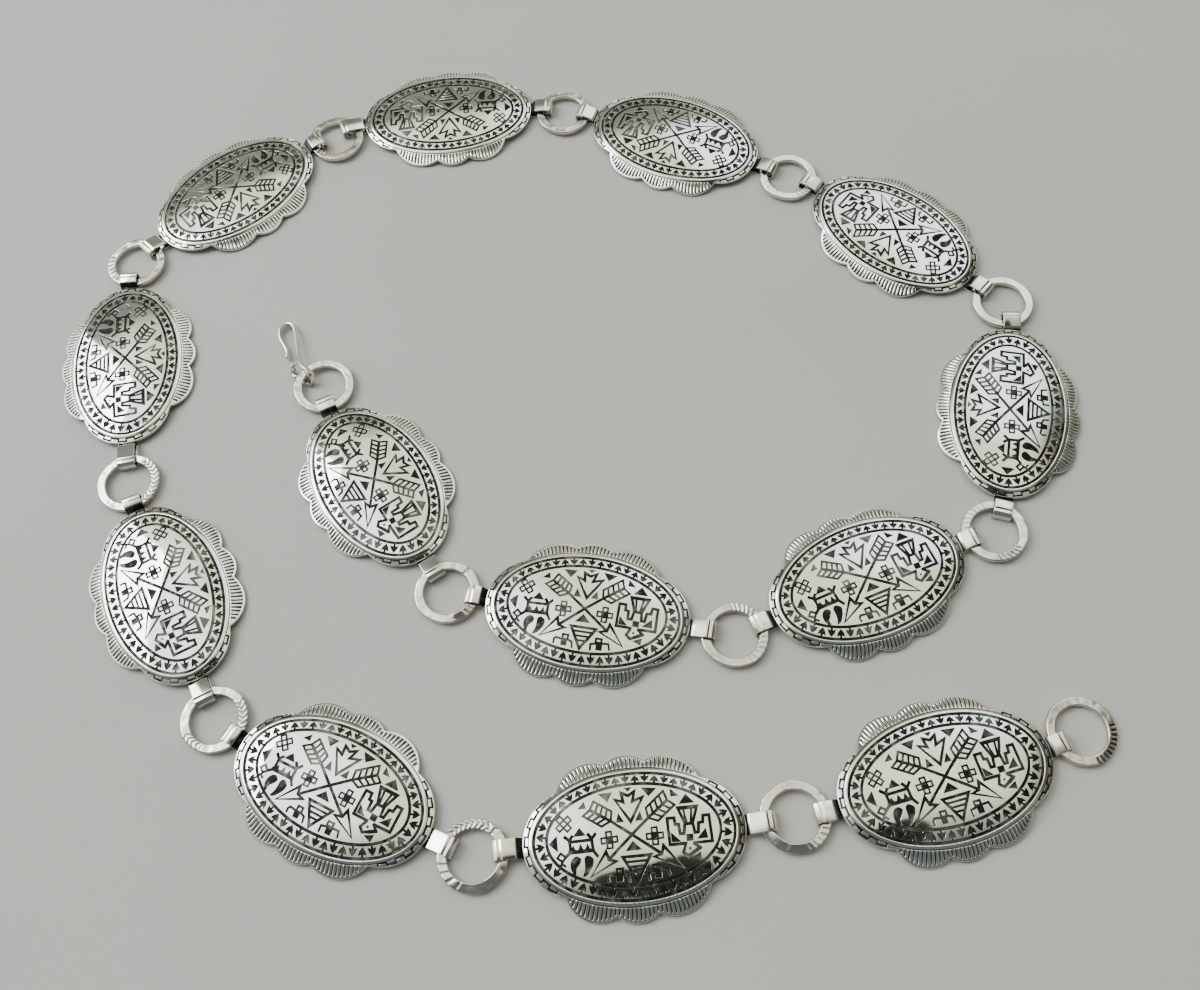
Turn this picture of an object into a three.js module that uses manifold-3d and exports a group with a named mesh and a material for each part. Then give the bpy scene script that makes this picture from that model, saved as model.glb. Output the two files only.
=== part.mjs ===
// A stamped metal link belt lying open on a table: thirteen domed oval plates with scalloped
// long sides, joined by flat round rings that pass through strap eyes under the plates' ends,
// with a bent strip hook on the first ring. Millimetres, +Z up, the table is z = 0.
import * as THREE from "three";
import { mergeVertices } from "three/addons/utils/BufferGeometryUtils.js";
import Module from "manifold-3d";

const wasm = await Module();
wasm.setup();

// Driving dimensions of a plate
const plateHalfLength = 26;
const sheet = 0.7;
const crownHeight = 3.8;
const domeDrop = 1.4;
const borderOval = { x: 24.4, y: 15.4 };
const fieldOval = { x: 20.7, y: 11.8 };
const flangeSlope = 0.41;
const flangeSlopeAtEnd = 0.31;

// Driving dimensions of a strap eye
const strapWidth = 4.7;
const strapThickness = 0.5;
const tabLength = 8;
const archHeight = 3.25;
const eyeCornerRadius = 0.5;
const eyeChamfer = 0.55;
const farShoulder = { drop: 0.9, middle: 0.35, run: 1 };
const nearShoulder = { foot: 0.3, middle: 0.5, run: 1.5 };
const solderDepth = 0.15;
const rimEmbed = 0.05;
const legMeeting = 1.2;
const tabBends = [1.6, 4.5, tabLength];
const yawShare = 0.6;
const yawLimit = 0.28;
const yawPivot = 3;

// Driving dimensions of a ring and of the hook
const ringOuterRadius = 8.35;
const ringInnerRadius = 6.1;
const ringThickness = 1.2;
const ringFloor = 0.8;
const ringSegments = 18;
const eyeGap = 0.4;
const hookWidth = 1.8;
const hookThickness = 0.6;

// The plates round the belt from the hook end: centre and heading of the long axis
const plates = [
  { x: -49.5, y: -14.5, heading: -61 },
  { x: 3.5, y: -56, heading: -14.5 },
  { x: 74.5, y: -54.5, heading: 17 },
  { x: 120.5, y: -10.5, heading: 74.5 },
  { x: 101.5, y: 51, heading: 134 },
  { x: 42.5, y: 93.5, heading: 152 },
  { x: -26.5, y: 111.5, heading: 180 },
  { x: -92, y: 89, heading: 215.5 },
  { x: -120, y: 31, heading: 274.5 },
  { x: -104, y: -40, heading: 292 },
  { x: -60, y: -94, heading: 329 },
  { x: 10, y: -111.5, heading: 0.5 },
  { x: 83.5, y: -105, heading: 10.5 },
];

// The rings round the belt: centre, rise of the centre, and the tilt with the bearing of its high side
const rings = [
  { x: -64, y: 17.5, rise: 0.1, tilt: 0.8, high: 145 },
  { x: -31.5, y: -47, rise: 0, tilt: 0, high: 0 },
  { x: 39.5, y: -65.5, rise: 0, tilt: 0, high: 0 },
  { x: 109, y: -44.5, rise: 0, tilt: 0, high: 0 },
  { x: 127, y: 24, rise: 0, tilt: 0, high: 0 },
  { x: 74.5, y: 75, rise: 0, tilt: 0, high: 0 },
  { x: 9.5, y: 108.5, rise: 0, tilt: 0, high: 0 },
  { x: -61.5, y: 106.5, rise: 0, tilt: 0, high: 0 },
  { x: -120.5, y: 66, rise: 0, tilt: 0, high: 0 },
  { x: -116.5, y: -7, rise: 0, tilt: 0, high: 0 },
  { x: -89.5, y: -74.5, rise: 0, tilt: 0, high: 0 },
  { x: -27.5, y: -112.5, rise: 0, tilt: 0, high: 0 },
  { x: 47.5, y: -110.5, rise: 0, tilt: 0, high: 0 },
  { x: 117.7, y: -97, rise: -0.3, tilt: 2.8, high: 190.5 },
];

// The hook's strip: middle of its section, lean of its width from level, and the width's bearing
const hookPath = [
  { x: -74.6, y: 27.8, z: 1.1, lean: 65, bearing: 15 },
  { x: -74.6, y: 30.2, z: 1.1, lean: 65, bearing: 15 },
  { x: -75.8, y: 32.9, z: 1.1, lean: 65, bearing: 15 },
  { x: -76.7, y: 35.0, z: 1.1, lean: 65, bearing: 15 },
  { x: -76.9, y: 37.0, z: 1.1, lean: 65, bearing: 15 },
  { x: -76.2, y: 38.8, z: 1.2, lean: 65, bearing: 15 },
  { x: -74.7, y: 39.4, z: 1.3, lean: 65, bearing: 15 },
  { x: -73.3, y: 38.7, z: 1.5, lean: 65, bearing: 15 },
  { x: -72.3, y: 36.2, z: 1.7, lean: 65, bearing: 15 },
  { x: -71.5, y: 31.0, z: 2.1, lean: 65, bearing: 15 },
  { x: -71.0, y: 27.0, z: 2.5, lean: 62, bearing: 18 },
  { x: -70.5, y: 24.9, z: 3.0, lean: 58, bearing: 22 },
  { x: -69.6, y: 23.5, z: 3.4, lean: 52, bearing: 28 },
  { x: -68.4, y: 22.2, z: 3.6, lean: 45, bearing: 35 },
  { x: -67.5, y: 20.9, z: 3.4, lean: 32, bearing: 42 },
  { x: -67.1, y: 19.9, z: 2.6, lean: 16, bearing: 50 },
  { x: -67.3, y: 19.3, z: 1.5, lean: 5, bearing: 55 },
  { x: -68.0, y: 19.3, z: 0.6, lean: 0, bearing: 55 },
  { x: -69.2, y: 20.1, z: 0.35, lean: 0, bearing: 55 },
  { x: -70.7, y: 21.2, z: 0.35, lean: 0, bearing: 55 },
  { x: -72.0, y: 22.1, z: 0.7, lean: 0, bearing: 55 },
  { x: -72.6, y: 22.7, z: 1.6, lean: 0, bearing: 55 },
  { x: -72.6, y: 23.3, z: 2.6, lean: 0, bearing: 55 },
  { x: -72.2, y: 24.0, z: 3.3, lean: 0, bearing: 55 },
];

// Brings the middle of the belt's box over the origin
const layoutShift = { x: -0.7, y: 0 };

const degrees = Math.PI / 180;

// The outline's notches round a plate, with the bulge and the steps of the arc to the next one
const notches = [
  { x: 16.9, y: -11.8, bulge: 9.1, steps: 6 },
  { x: 16.9, y: 11.8, bulge: 3.1, steps: 4 },
  { x: 4.7, y: 17.2, bulge: 1.9, steps: 4 },
  { x: -4.7, y: 17.2, bulge: 3.1, steps: 4 },
  { x: -16.9, y: 11.8, bulge: 9.1, steps: 6 },
  { x: -16.9, y: -11.8, bulge: 3.1, steps: 4 },
  { x: -4.7, y: -17.2, bulge: 1.9, steps: 4 },
  { x: 4.7, y: -17.2, bulge: 3.1, steps: 4 },
];

const silver = new THREE.MeshStandardMaterial({ color: 0xc8c9bd, roughness: 0.32, metalness: 1 });
const blackenedSilver = new THREE.MeshStandardMaterial({ color: 0xb6b7ac, roughness: 0.38, metalness: 1 });

// Arc over a chord, bulging to the right of the way from one end to the other
function arcPoints(from, to, bulge, steps) {
  const half = Math.hypot(to.x - from.x, to.y - from.y) / 2;
  const radius = (half * half + bulge * bulge) / (2 * bulge);
  const along = { x: (to.x - from.x) / (2 * half), y: (to.y - from.y) / (2 * half) };
  const out = { x: along.y, y: -along.x };
  const sweep = Math.asin(Math.min(1, half / radius));
  const middle = { x: (from.x + to.x) / 2, y: (from.y + to.y) / 2 };
  const points = [];
  for (let step = 0; step < steps; step++) {
    const angle = sweep * ((2 * step) / steps - 1);
    const u = radius * Math.sin(angle);
    const v = radius * Math.cos(angle) - (radius - bulge);
    points.push({ x: middle.x + u * along.x + v * out.x, y: middle.y + u * along.y + v * out.y });
  }
  return points;
}

// Scalloped outline of a plate, anticlockwise
function plateOutline() {
  return notches.flatMap((notch, index) => {
    const next = notches[(index + 1) % notches.length];
    return arcPoints(notch, next, notch.bulge, notch.steps);
  });
}

function ovalPoint(oval, parameter) {
  return { x: oval.x * Math.cos(parameter), y: oval.y * Math.sin(parameter) };
}

// Height of the plate's upper surface: a low dome, with a sloping flange outside the border
function domeHeight(point) {
  const spread = (point.x / borderOval.x) ** 2 + (point.y / borderOval.y) ** 2;
  return crownHeight - domeDrop * spread;
}

function flangeHeight(point, border) {
  const width = Math.hypot(point.x - border.x, point.y - border.y);
  const towardEnd = THREE.MathUtils.smoothstep(Math.abs(point.x), notches[0].x, plateHalfLength);
  const slope = THREE.MathUtils.lerp(flangeSlope, flangeSlopeAtEnd, towardEnd);
  return domeHeight(border) - slope * width;
}

// A closed body from rings of points: the first and last rings shrink to one point each
function closedBody(topCentre, loops, bottomCentre) {
  const count = loops[0].length;
  const positions = [topCentre, ...loops.flat(), bottomCentre].flatMap((p) => [p.x, p.y, p.z]);
  const last = 1 + loops.length * count;
  const indices = [];
  for (let i = 0; i < count; i++) {
    const j = (i + 1) % count;
    indices.push(0, 1 + i, 1 + j);
    for (let row = 0; row + 1 < loops.length; row++) {
      const a = 1 + row * count + i;
      const b = 1 + row * count + j;
      indices.push(a, a + count, b + count, a, b + count, b);
    }
    const inner = 1 + (loops.length - 1) * count;
    indices.push(last, inner + j, inner + i);
  }
  const geometry = new THREE.BufferGeometry();
  geometry.setAttribute("position", new THREE.Float32BufferAttribute(positions, 3));
  geometry.setIndex(indices);
  return geometry;
}

// The stamped sheet: dome, border and flange above, and the same form one sheet lower beneath
function plateShell() {
  const outline = plateOutline();
  const parameters = outline.map((p) => Math.atan2(p.y / borderOval.y, p.x / borderOval.x));
  const field = parameters.map((t) => ovalPoint(fieldOval, t));
  const border = parameters.map((t) => ovalPoint(borderOval, t));
  const upper = [
    field.map((p) => ({ ...p, z: domeHeight(p) })),
    border.map((p) => ({ ...p, z: domeHeight(p) })),
    outline.map((p, i) => ({ ...p, z: flangeHeight(p, border[i]) })),
  ];
  const lower = upper.map((loop) => loop.map((p) => ({ ...p, z: p.z - sheet }))).reverse();
  const top = { x: 0, y: 0, z: crownHeight };
  const bottom = { x: 0, y: 0, z: crownHeight - sheet };
  return closedBody(top, [...upper, ...lower], bottom);
}

// Side view of a strap eye: s runs outward from the plate's rim, and reach is the eye's far end.
// The lower leg lies on the table. The upper leg climbs outside the rim, arches over the ring's
// band and curls down to meet the lower one. Inside the plate the upper leg follows the dome.
function strapProfile(reach) {
  const t = strapThickness;
  const far = reach + t;
  const rimTop = domeHeight({ x: borderOval.x, y: 0 }) - flangeSlopeAtEnd * (plateHalfLength - borderOval.x);
  const rimBottom = rimTop - sheet;
  const underside = (s) => domeHeight({ x: plateHalfLength + s, y: 0 }) - sheet + solderDepth;
  const outerCorner = eyeCornerRadius + t;
  const profile = new THREE.Shape();
  profile.moveTo(-tabLength, 0);
  profile.lineTo(far - outerCorner, 0);
  profile.absarc(far - outerCorner, outerCorner, outerCorner, -Math.PI / 2, 0, false);
  profile.lineTo(far, archHeight - farShoulder.drop);
  profile.lineTo(far - farShoulder.middle, archHeight - farShoulder.middle);
  profile.lineTo(far - farShoulder.run, archHeight);
  profile.lineTo(nearShoulder.run, archHeight);
  profile.lineTo(nearShoulder.middle, archHeight - farShoulder.middle);
  profile.lineTo(-rimEmbed, rimTop + nearShoulder.foot);
  profile.lineTo(-rimEmbed, rimBottom + 2 * rimEmbed);
  tabBends.forEach((s) => profile.lineTo(-s, underside(-s)));
  profile.lineTo(-tabLength, underside(-tabLength) - t);
  profile.lineTo(-legMeeting, t + rimEmbed);
  profile.lineTo(-tabLength, t - rimEmbed);
  profile.closePath();
  const eye = new THREE.Path();
  eye.moveTo(t, t);
  eye.lineTo(t, archHeight - t - eyeChamfer);
  eye.lineTo(t + eyeChamfer, archHeight - t);
  eye.lineTo(reach - eyeChamfer, archHeight - t);
  eye.lineTo(reach, archHeight - t - eyeChamfer);
  eye.lineTo(reach, t + eyeCornerRadius);
  eye.absarc(reach - eyeCornerRadius, t + eyeCornerRadius, eyeCornerRadius, 0, -Math.PI / 2, true);
  eye.closePath();
  profile.holes.push(eye);
  return profile;
}

// Where a ring lies seen from a plate's end, and how far the strap turns towards it
function jointTo(plate, side, ring) {
  const angle = plate.heading * degrees;
  const dx = ring.x - plate.x;
  const dy = ring.y - plate.y;
  const s = side * (dx * Math.cos(angle) + dy * Math.sin(angle)) - plateHalfLength;
  const across = side * (dy * Math.cos(angle) - dx * Math.sin(angle));
  const yaw = THREE.MathUtils.clamp(yawShare * Math.atan2(across, s + yawPivot), -yawLimit, yawLimit);
  const alongStrap = s * Math.cos(yaw) + across * Math.sin(yaw);
  const acrossStrap = Math.abs(across * Math.cos(yaw) - s * Math.sin(yaw)) + strapWidth / 2;
  const clear = ringInnerRadius - eyeGap;
  const reach = alongStrap - Math.sqrt(clear * clear - acrossStrap * acrossStrap);
  return { yaw, reach };
}

function strap(plate, side, ring) {
  const { yaw, reach } = jointTo(plate, side, ring);
  const geometry = new THREE.ExtrudeGeometry(strapProfile(reach), {
    depth: strapWidth,
    bevelEnabled: false,
    steps: 1,
    curveSegments: 2,
  });
  geometry.rotateX(Math.PI / 2);
  geometry.translate(0, strapWidth / 2, 0);
  geometry.rotateZ(yaw + (side < 0 ? Math.PI : 0));
  geometry.translate(side * plateHalfLength, 0, 0);
  return geometry;
}

function toSolid(geometry) {
  const bare = geometry.clone();
  bare.deleteAttribute("normal");
  bare.deleteAttribute("uv");
  const merged = mergeVertices(bare, 1e-4);
  return new wasm.Manifold(new wasm.Mesh({
    numProp: 3,
    vertProperties: new Float32Array(merged.attributes.position.array),
    triVerts: new Uint32Array(merged.index.array),
  }));
}

function toGeometry(solid) {
  const mesh = solid.getMesh();
  const geometry = new THREE.BufferGeometry();
  geometry.setAttribute("position", new THREE.BufferAttribute(mesh.vertProperties, 3));
  geometry.setIndex(new THREE.BufferAttribute(mesh.triVerts, 1));
  geometry.computeVertexNormals();
  return geometry;
}

// One plate with the two strap eyes soldered inside its ends
function plateMesh(index, shell) {
  const plate = plates[index];
  let solid = toSolid(shell);
  solid = solid.add(toSolid(strap(plate, -1, rings[index])));
  solid = solid.add(toSolid(strap(plate, 1, rings[index + 1])));
  const mesh = new THREE.Mesh(toGeometry(solid), blackenedSilver);
  mesh.name = `concho_${String(index + 1).padStart(2, "0")}`;
  mesh.position.set(plate.x, plate.y, 0);
  mesh.rotation.z = plate.heading * degrees;
  return mesh;
}

function ringMesh(index) {
  const place = rings[index];
  const half = ringThickness / 2;
  const section = [
    new THREE.Vector2(ringInnerRadius, -half),
    new THREE.Vector2(ringOuterRadius, -half),
    new THREE.Vector2(ringOuterRadius, half),
    new THREE.Vector2(ringInnerRadius, half),
    new THREE.Vector2(ringInnerRadius, -half),
  ];
  const geometry = new THREE.LatheGeometry(section, ringSegments);
  geometry.rotateX(Math.PI / 2);
  const mesh = new THREE.Mesh(geometry, silver);
  mesh.name = `ring_${String(index).padStart(2, "0")}`;
  mesh.position.set(place.x, place.y, ringFloor + half + place.rise);
  const high = place.high * degrees;
  mesh.setRotationFromAxisAngle(new THREE.Vector3(Math.sin(high), -Math.cos(high), 0), place.tilt * degrees);
  return mesh;
}

// A flat strip whose section follows the path with its own lean at each point
function hookMesh() {
  const middles = hookPath.map((p) => new THREE.Vector3(p.x, p.y, p.z));
  const rows = hookPath.map((p, i) => {
    const before = middles[Math.max(i - 1, 0)];
    const after = middles[Math.min(i + 1, middles.length - 1)];
    const tangent = after.clone().sub(before).normalize();
    const level = Math.cos(p.lean * degrees);
    const wide = new THREE.Vector3(
      level * Math.cos(p.bearing * degrees),
      level * Math.sin(p.bearing * degrees),
      -Math.sin(p.lean * degrees),
    );
    const thick = new THREE.Vector3().crossVectors(tangent, wide).normalize();
    wide.crossVectors(thick, tangent).normalize();
    return [[1, 1], [-1, 1], [-1, -1], [1, -1]].map(([u, v]) => middles[i].clone()
      .addScaledVector(wide, (u * hookWidth) / 2)
      .addScaledVector(thick, (v * hookThickness) / 2));
  });
  const positions = rows.flat().flatMap((p) => [p.x, p.y, p.z]);
  const indices = [];
  for (let row = 0; row + 1 < rows.length; row++) {
    for (let k = 0; k < 4; k++) {
      const a = 4 * row + k;
      const b = 4 * row + ((k + 1) % 4);
      indices.push(a, b, b + 4, a, b + 4, a + 4);
    }
  }
  const end = 4 * (rows.length - 1);
  indices.push(0, 2, 1, 0, 3, 2, end, end + 1, end + 2, end, end + 2, end + 3);
  const geometry = new THREE.BufferGeometry();
  geometry.setAttribute("position", new THREE.Float32BufferAttribute(positions, 3));
  geometry.setIndex(indices);
  geometry.computeVertexNormals();
  const mesh = new THREE.Mesh(geometry, silver);
  mesh.name = "hook";
  return mesh;
}

const belt = new THREE.Group();
const shell = plateShell();
plates.forEach((_, index) => belt.add(plateMesh(index, shell)));
rings.forEach((_, index) => belt.add(ringMesh(index)));
belt.add(hookMesh());
belt.position.set(layoutShift.x, layoutShift.y, 0);

export default belt;
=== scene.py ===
# Looks of a stamped metal link belt that lies open in a spiral: domed oval plates with a
# blackened design, strap eyes, hammered rings and a strip hook. The shape functions work in
# millimetres in each piece's own frame, and make_piece turns them into metres.
import math

import bpy
import numpy as np
from mathutils import Matrix, Vector
from mathutils.geometry import delaunay_2d_cdt


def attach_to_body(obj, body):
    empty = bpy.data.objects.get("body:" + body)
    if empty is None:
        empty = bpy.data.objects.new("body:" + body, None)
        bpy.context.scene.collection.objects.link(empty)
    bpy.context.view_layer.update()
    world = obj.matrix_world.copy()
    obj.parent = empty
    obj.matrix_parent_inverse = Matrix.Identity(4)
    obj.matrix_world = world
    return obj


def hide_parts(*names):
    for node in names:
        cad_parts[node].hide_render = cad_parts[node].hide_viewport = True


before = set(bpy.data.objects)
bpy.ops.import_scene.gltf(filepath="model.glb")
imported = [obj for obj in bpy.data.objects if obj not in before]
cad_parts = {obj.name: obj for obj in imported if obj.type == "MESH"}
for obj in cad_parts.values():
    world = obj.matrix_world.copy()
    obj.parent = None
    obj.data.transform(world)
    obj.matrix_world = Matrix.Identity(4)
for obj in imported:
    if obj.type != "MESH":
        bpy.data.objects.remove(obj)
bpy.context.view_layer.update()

MM = 0.001
BODY = "root"

# Plate, as the solids have it
PLATE_HALF_LENGTH = 26.0
SHEET = 0.7
CROWN_HEIGHT = 3.8
DOME_DROP = 1.4
BORDER_OVAL = np.array([24.4, 15.4])
FLANGE_SLOPE = 0.41
FLANGE_SLOPE_AT_END = 0.31

# Plate's finer forms
FIELD_OVAL = np.array([20.15, 11.4])
FIELD_MIDDLE = np.array([-0.1, 0.3])
OUTER_GROOVE_OVAL = np.array([23.3, 14.2])
CREASE_SOFTNESS = 0.16
BEAD_HEIGHT = 0.08
BEAD_INSET = 0.5
BEAD_WIDTH = 0.36
RIM_RADIUS = 0.24
RIM_STEPS = 4
UNDERSIDE_SHARES = (0.96, 0.92, 0.87, 0.8, 0.7, 0.58, 0.44, 0.28, 0.12)
UNEVENNESS = (
    {"length": 23, "height": 0.035},
    {"length": 15, "height": 0.014},
    {"length": 9, "height": 0.004},
    {"length": 5, "height": 0.001},
)

# Outline notches round a plate, with the bulge and the steps of the arc to the next one
NOTCHES = (
    {"at": (16.5, -11.8), "bulge": 9.5, "steps": 56},
    {"at": (16.5, 12.0), "bulge": 3.1, "steps": 28},
    {"at": (3.9, 17.3), "bulge": 1.8, "steps": 20},
    {"at": (-5.6, 17.1), "bulge": 3.1, "steps": 28},
    {"at": (-17.3, 11.6), "bulge": 8.9, "steps": 56},
    {"at": (-16.9, -12.0), "bulge": 3.1, "steps": 28},
    {"at": (-5.6, -17.1), "bulge": 1.8, "steps": 20},
    {"at": (3.9, -17.2), "bulge": 3.1, "steps": 28},
)
SCALLOPS_END = 16.7

# Strap eyes, as the solids have them
STRAP_WIDTH = 4.7
STRAP_THICKNESS = 0.5
TAB_LENGTH = 8.0
ARCH_HEIGHT = 3.25
SOLDER_DEPTH = 0.15
YAW_SHARE = 0.6
YAW_LIMIT = 0.28
YAW_PIVOT = 3.0
EYE_GAP = 0.4

# Rings and hook, as the solids have them
RING_OUTER = 8.35
RING_INNER = 6.1
RING_THICKNESS = 1.2
RING_FLOOR = 0.8
HOOK_WIDTH = 1.8
HOOK_THICKNESS = 0.6

# Finer forms of straps, rings and hook: rounding of their edges, and what lies on them, with the painted
# shade and blackening on the straps by the plate's rim
STRAP_EDGE = 0.12
RING_EDGE = 0.28
HOOK_EDGE = 0.16
STRAP_RIM_SHADE_AND_OXIDE = 0.9
STRAP_SHARP_ANGLE = 50
RING_STATIONS = 320
HAMMER_DENTS = 90
CURVE_STEPS = 6

# First seeds of the plates' and the rings' own unevenness
PLATE_SEED = 100
RING_SEED = 300

LAYOUT_SHIFT = (-0.7, 0.0)

# The plates from the hook end: centre and heading of the long axis
PLATES = (
    {"x": -49.5, "y": -14.5, "heading": -61},
    {"x": 3.5, "y": -56, "heading": -14.5},
    {"x": 74.5, "y": -54.5, "heading": 17},
    {"x": 120.5, "y": -10.5, "heading": 74.5},
    {"x": 101.5, "y": 51, "heading": 134},
    {"x": 42.5, "y": 93.5, "heading": 152},
    {"x": -26.5, "y": 111.5, "heading": 180},
    {"x": -92, "y": 89, "heading": 215.5},
    {"x": -120, "y": 31, "heading": 274.5},
    {"x": -104, "y": -40, "heading": 292},
    {"x": -60, "y": -94, "heading": 329},
    {"x": 10, "y": -111.5, "heading": 0.5},
    {"x": 83.5, "y": -105, "heading": 10.5},
)

# The rings: centre, and where they differ from a level one: rise and tilt with the bearing of the
# high side, and as bearings seen from above the stretches of the band with punched notches, the
# stretches that lean and the seam
RINGS = (
    {"x": -64, "y": 17.5, "rise": 0.1, "tilt": 0.8, "high": 145},
    {"x": -31.5, "y": -47, "notched": ((-60, -10, "faint"),), "leaning": ((-45, 50, 0.55),),
     "seam": 38},
    {"x": 39.5, "y": -65.5, "notched": ((35, 100, "rope"), (-75, -5, "faint"))},
    {"x": 109, "y": -44.5, "notched": ((95, 190, "faint"), (-100, -40, "rope"))},
    {"x": 127, "y": 24},
    {"x": 74.5, "y": 75, "notched": ((-80, -20, "rope"),)},
    {"x": 9.5, "y": 108.5},
    {"x": -61.5, "y": 106.5, "notched": ((200, 260, "faint"),)},
    {"x": -120.5, "y": 66, "notched": ((150, 230, "faint"),)},
    {"x": -116.5, "y": -7, "notched": ((-55, 60, "chevron"),)},
    {"x": -89.5, "y": -74.5, "notched": ((-40, 40, "chevron"), (200, 250, "chevron"))},
    {"x": -27.5, "y": -112.5, "notched": ((50, 165, "chevron"), (185, 248, "facets")),
     "leaning": ((-75, 70, 0.6),), "seam": 38},
    {"x": 47.5, "y": -110.5, "notched": ((280, 350, "faint"),), "leaning": ((-115, 55, 0.6),)},
    {"x": 117.7, "y": -97, "rise": -0.3, "tilt": 2.8, "high": 190.5,
     "notched": ((-80, 12, "deep"),), "leaning": ((-30, 60, 0.3),)},
)
LEVEL_RING = {"rise": 0, "tilt": 0, "high": 0, "notched": (), "leaning": ()}

# The hook's strip: middle of its section, lean of its width from level, and the width's bearing
HOOK_COLUMNS = ("x", "y", "z", "lean", "bearing")
HOOK_PATH = (
    (-74.6, 27.8, 1.1, 65, 15),
    (-74.6, 30.2, 1.1, 65, 15),
    (-75.8, 32.9, 1.1, 65, 15),
    (-76.7, 35.0, 1.1, 65, 15),
    (-76.9, 37.0, 1.1, 65, 15),
    (-76.2, 38.8, 1.2, 65, 15),
    (-74.7, 39.4, 1.3, 65, 15),
    (-73.3, 38.7, 1.5, 64, 15),
    (-72.3, 36.2, 1.7, 61, 15),
    (-71.5, 31.0, 2.1, 58, 15),
    (-71.0, 27.0, 2.5, 57, 18),
    (-70.5, 24.9, 3.0, 55, 22),
    (-69.6, 23.5, 3.4, 51, 28),
    (-68.4, 22.2, 3.6, 45, 35),
    (-67.5, 20.9, 3.4, 32, 42),
    (-67.1, 19.9, 2.6, 16, 50),
    (-67.3, 19.3, 1.5, 5, 55),
    (-68.0, 19.3, 0.6, 0, 55),
    (-69.2, 20.1, 0.35, 0, 55),
    (-70.7, 21.2, 0.35, 0, 55),
    (-72.0, 22.1, 0.7, 0, 55),
    (-72.6, 22.7, 1.6, 0, 55),
    (-72.6, 23.3, 2.6, 0, 55),
    (-72.2, 24.0, 3.3, 0, 55),
    (-71.5, 24.6, 3.6, 0, 55),
)

# Stamped design in the plate's frame
LINE_WIDTH = 0.78
FINE_WIDTH = 0.6
BOLD_WIDTH = 0.95
LINE_DEPTH = 0.2
LINE_WALL = 0.1
PANEL_DEPTH = 0.12
PANEL_INK = 0.7
GROOVE_INK = 0.37
BORDER_ARROWS = 48
BORDER_ARROW_START = 0.8
SCALLOP_GROOVES = 135
RIDGE_LIFT = 0.07
END_STATIONS = 62
GRID_STEP = 0.9
GRID_REACH = (26, 20)
MERGE_DISTANCE = 1e-3
TRIANGLES_INSIDE = 1
LEVEL_SHARE = 0.04
BAND_OFFSETS = (-1.1, -0.85, -0.65, -0.45, -0.25, -0.05, 0.5)
BAND_POINTS = 240


# Small helpers on points

def smooth_step(value, low, high):
    share = np.clip((value - low) / (high - low), 0, 1)
    return share * share * (3 - 2 * share)


def turned(points, degrees):
    angle = math.radians(degrees)
    turn = np.array([[math.cos(angle), math.sin(angle)], [-math.sin(angle), math.cos(angle)]])
    return np.asarray(points, float) @ turn


def unit_rows(vectors):
    return vectors / np.linalg.norm(vectors, axis=1, keepdims=True)


def shifted(points, distance, closed):
    """A line's points moved to its left, with the corners kept sharp."""
    ahead = np.roll(points, -1, axis=0) - points
    if not closed:
        ahead[-1] = ahead[-2]
    ahead = unit_rows(ahead)
    behind = np.roll(ahead, 1, axis=0)
    if not closed:
        behind[0] = ahead[0]
    left_ahead = np.stack([-ahead[:, 1], ahead[:, 0]], axis=1)
    left_behind = np.stack([-behind[:, 1], behind[:, 0]], axis=1)
    spread = np.maximum(1 + (left_ahead * left_behind).sum(axis=1, keepdims=True), 0.3)
    return points + distance * (left_ahead + left_behind) / spread


def counterclockwise(points):
    after = np.roll(points, -1, axis=0)
    area = (points[:, 0] * after[:, 1] - after[:, 0] * points[:, 1]).sum()
    return points if area > 0 else points[::-1]


def distance_to_line(points, line, closed):
    starts = line if closed else line[:-1]
    ends = np.roll(line, -1, axis=0) if closed else line[1:]
    along = ends - starts
    lengths = (along ** 2).sum(axis=1)
    offset = points[:, None, :] - starts[None, :, :]
    share = np.clip((offset * along).sum(axis=2) / lengths, 0, 1)
    nearest = offset - share[:, :, None] * along
    return np.sqrt((nearest ** 2).sum(axis=2)).min(axis=1)


def is_inside(points, loop):
    starts = loop
    ends = np.roll(loop, -1, axis=0)
    x = points[:, 0, None]
    y = points[:, 1, None]
    straddles = (starts[:, 1] > y) != (ends[:, 1] > y)
    rise = np.where(starts[:, 1] == ends[:, 1], 1, ends[:, 1] - starts[:, 1])
    crossing = starts[:, 0] + (y - starts[:, 1]) / rise * (ends[:, 0] - starts[:, 0])
    return (straddles & (x < crossing)).sum(axis=1) % 2 == 1


def between(before, here, after, second, share):
    """The point at a share of the way from here to after, on a smooth curve through all four."""
    return 0.5 * (2 * here + (after - before) * share
                  + (2 * before - 5 * here + 4 * after - second) * share ** 2
                  + (3 * here - before - 3 * after + second) * share ** 3)


def smooth_loop(points, steps):
    """A closed curve through the points."""
    points = np.asarray(points, float)
    before = np.roll(points, 1, axis=0)
    after = np.roll(points, -1, axis=0)
    second = np.roll(points, -2, axis=0)
    curve = [between(before, points, after, second, share) for share in np.arange(steps) / steps]
    return np.stack(curve, axis=1).reshape(-1, 2)


def oval_points(radii, count):
    angle = np.arange(count) * 2 * math.pi / count
    return np.stack([radii[0] * np.cos(angle), radii[1] * np.sin(angle)], axis=1)


# Marks of the stamped design

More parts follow.
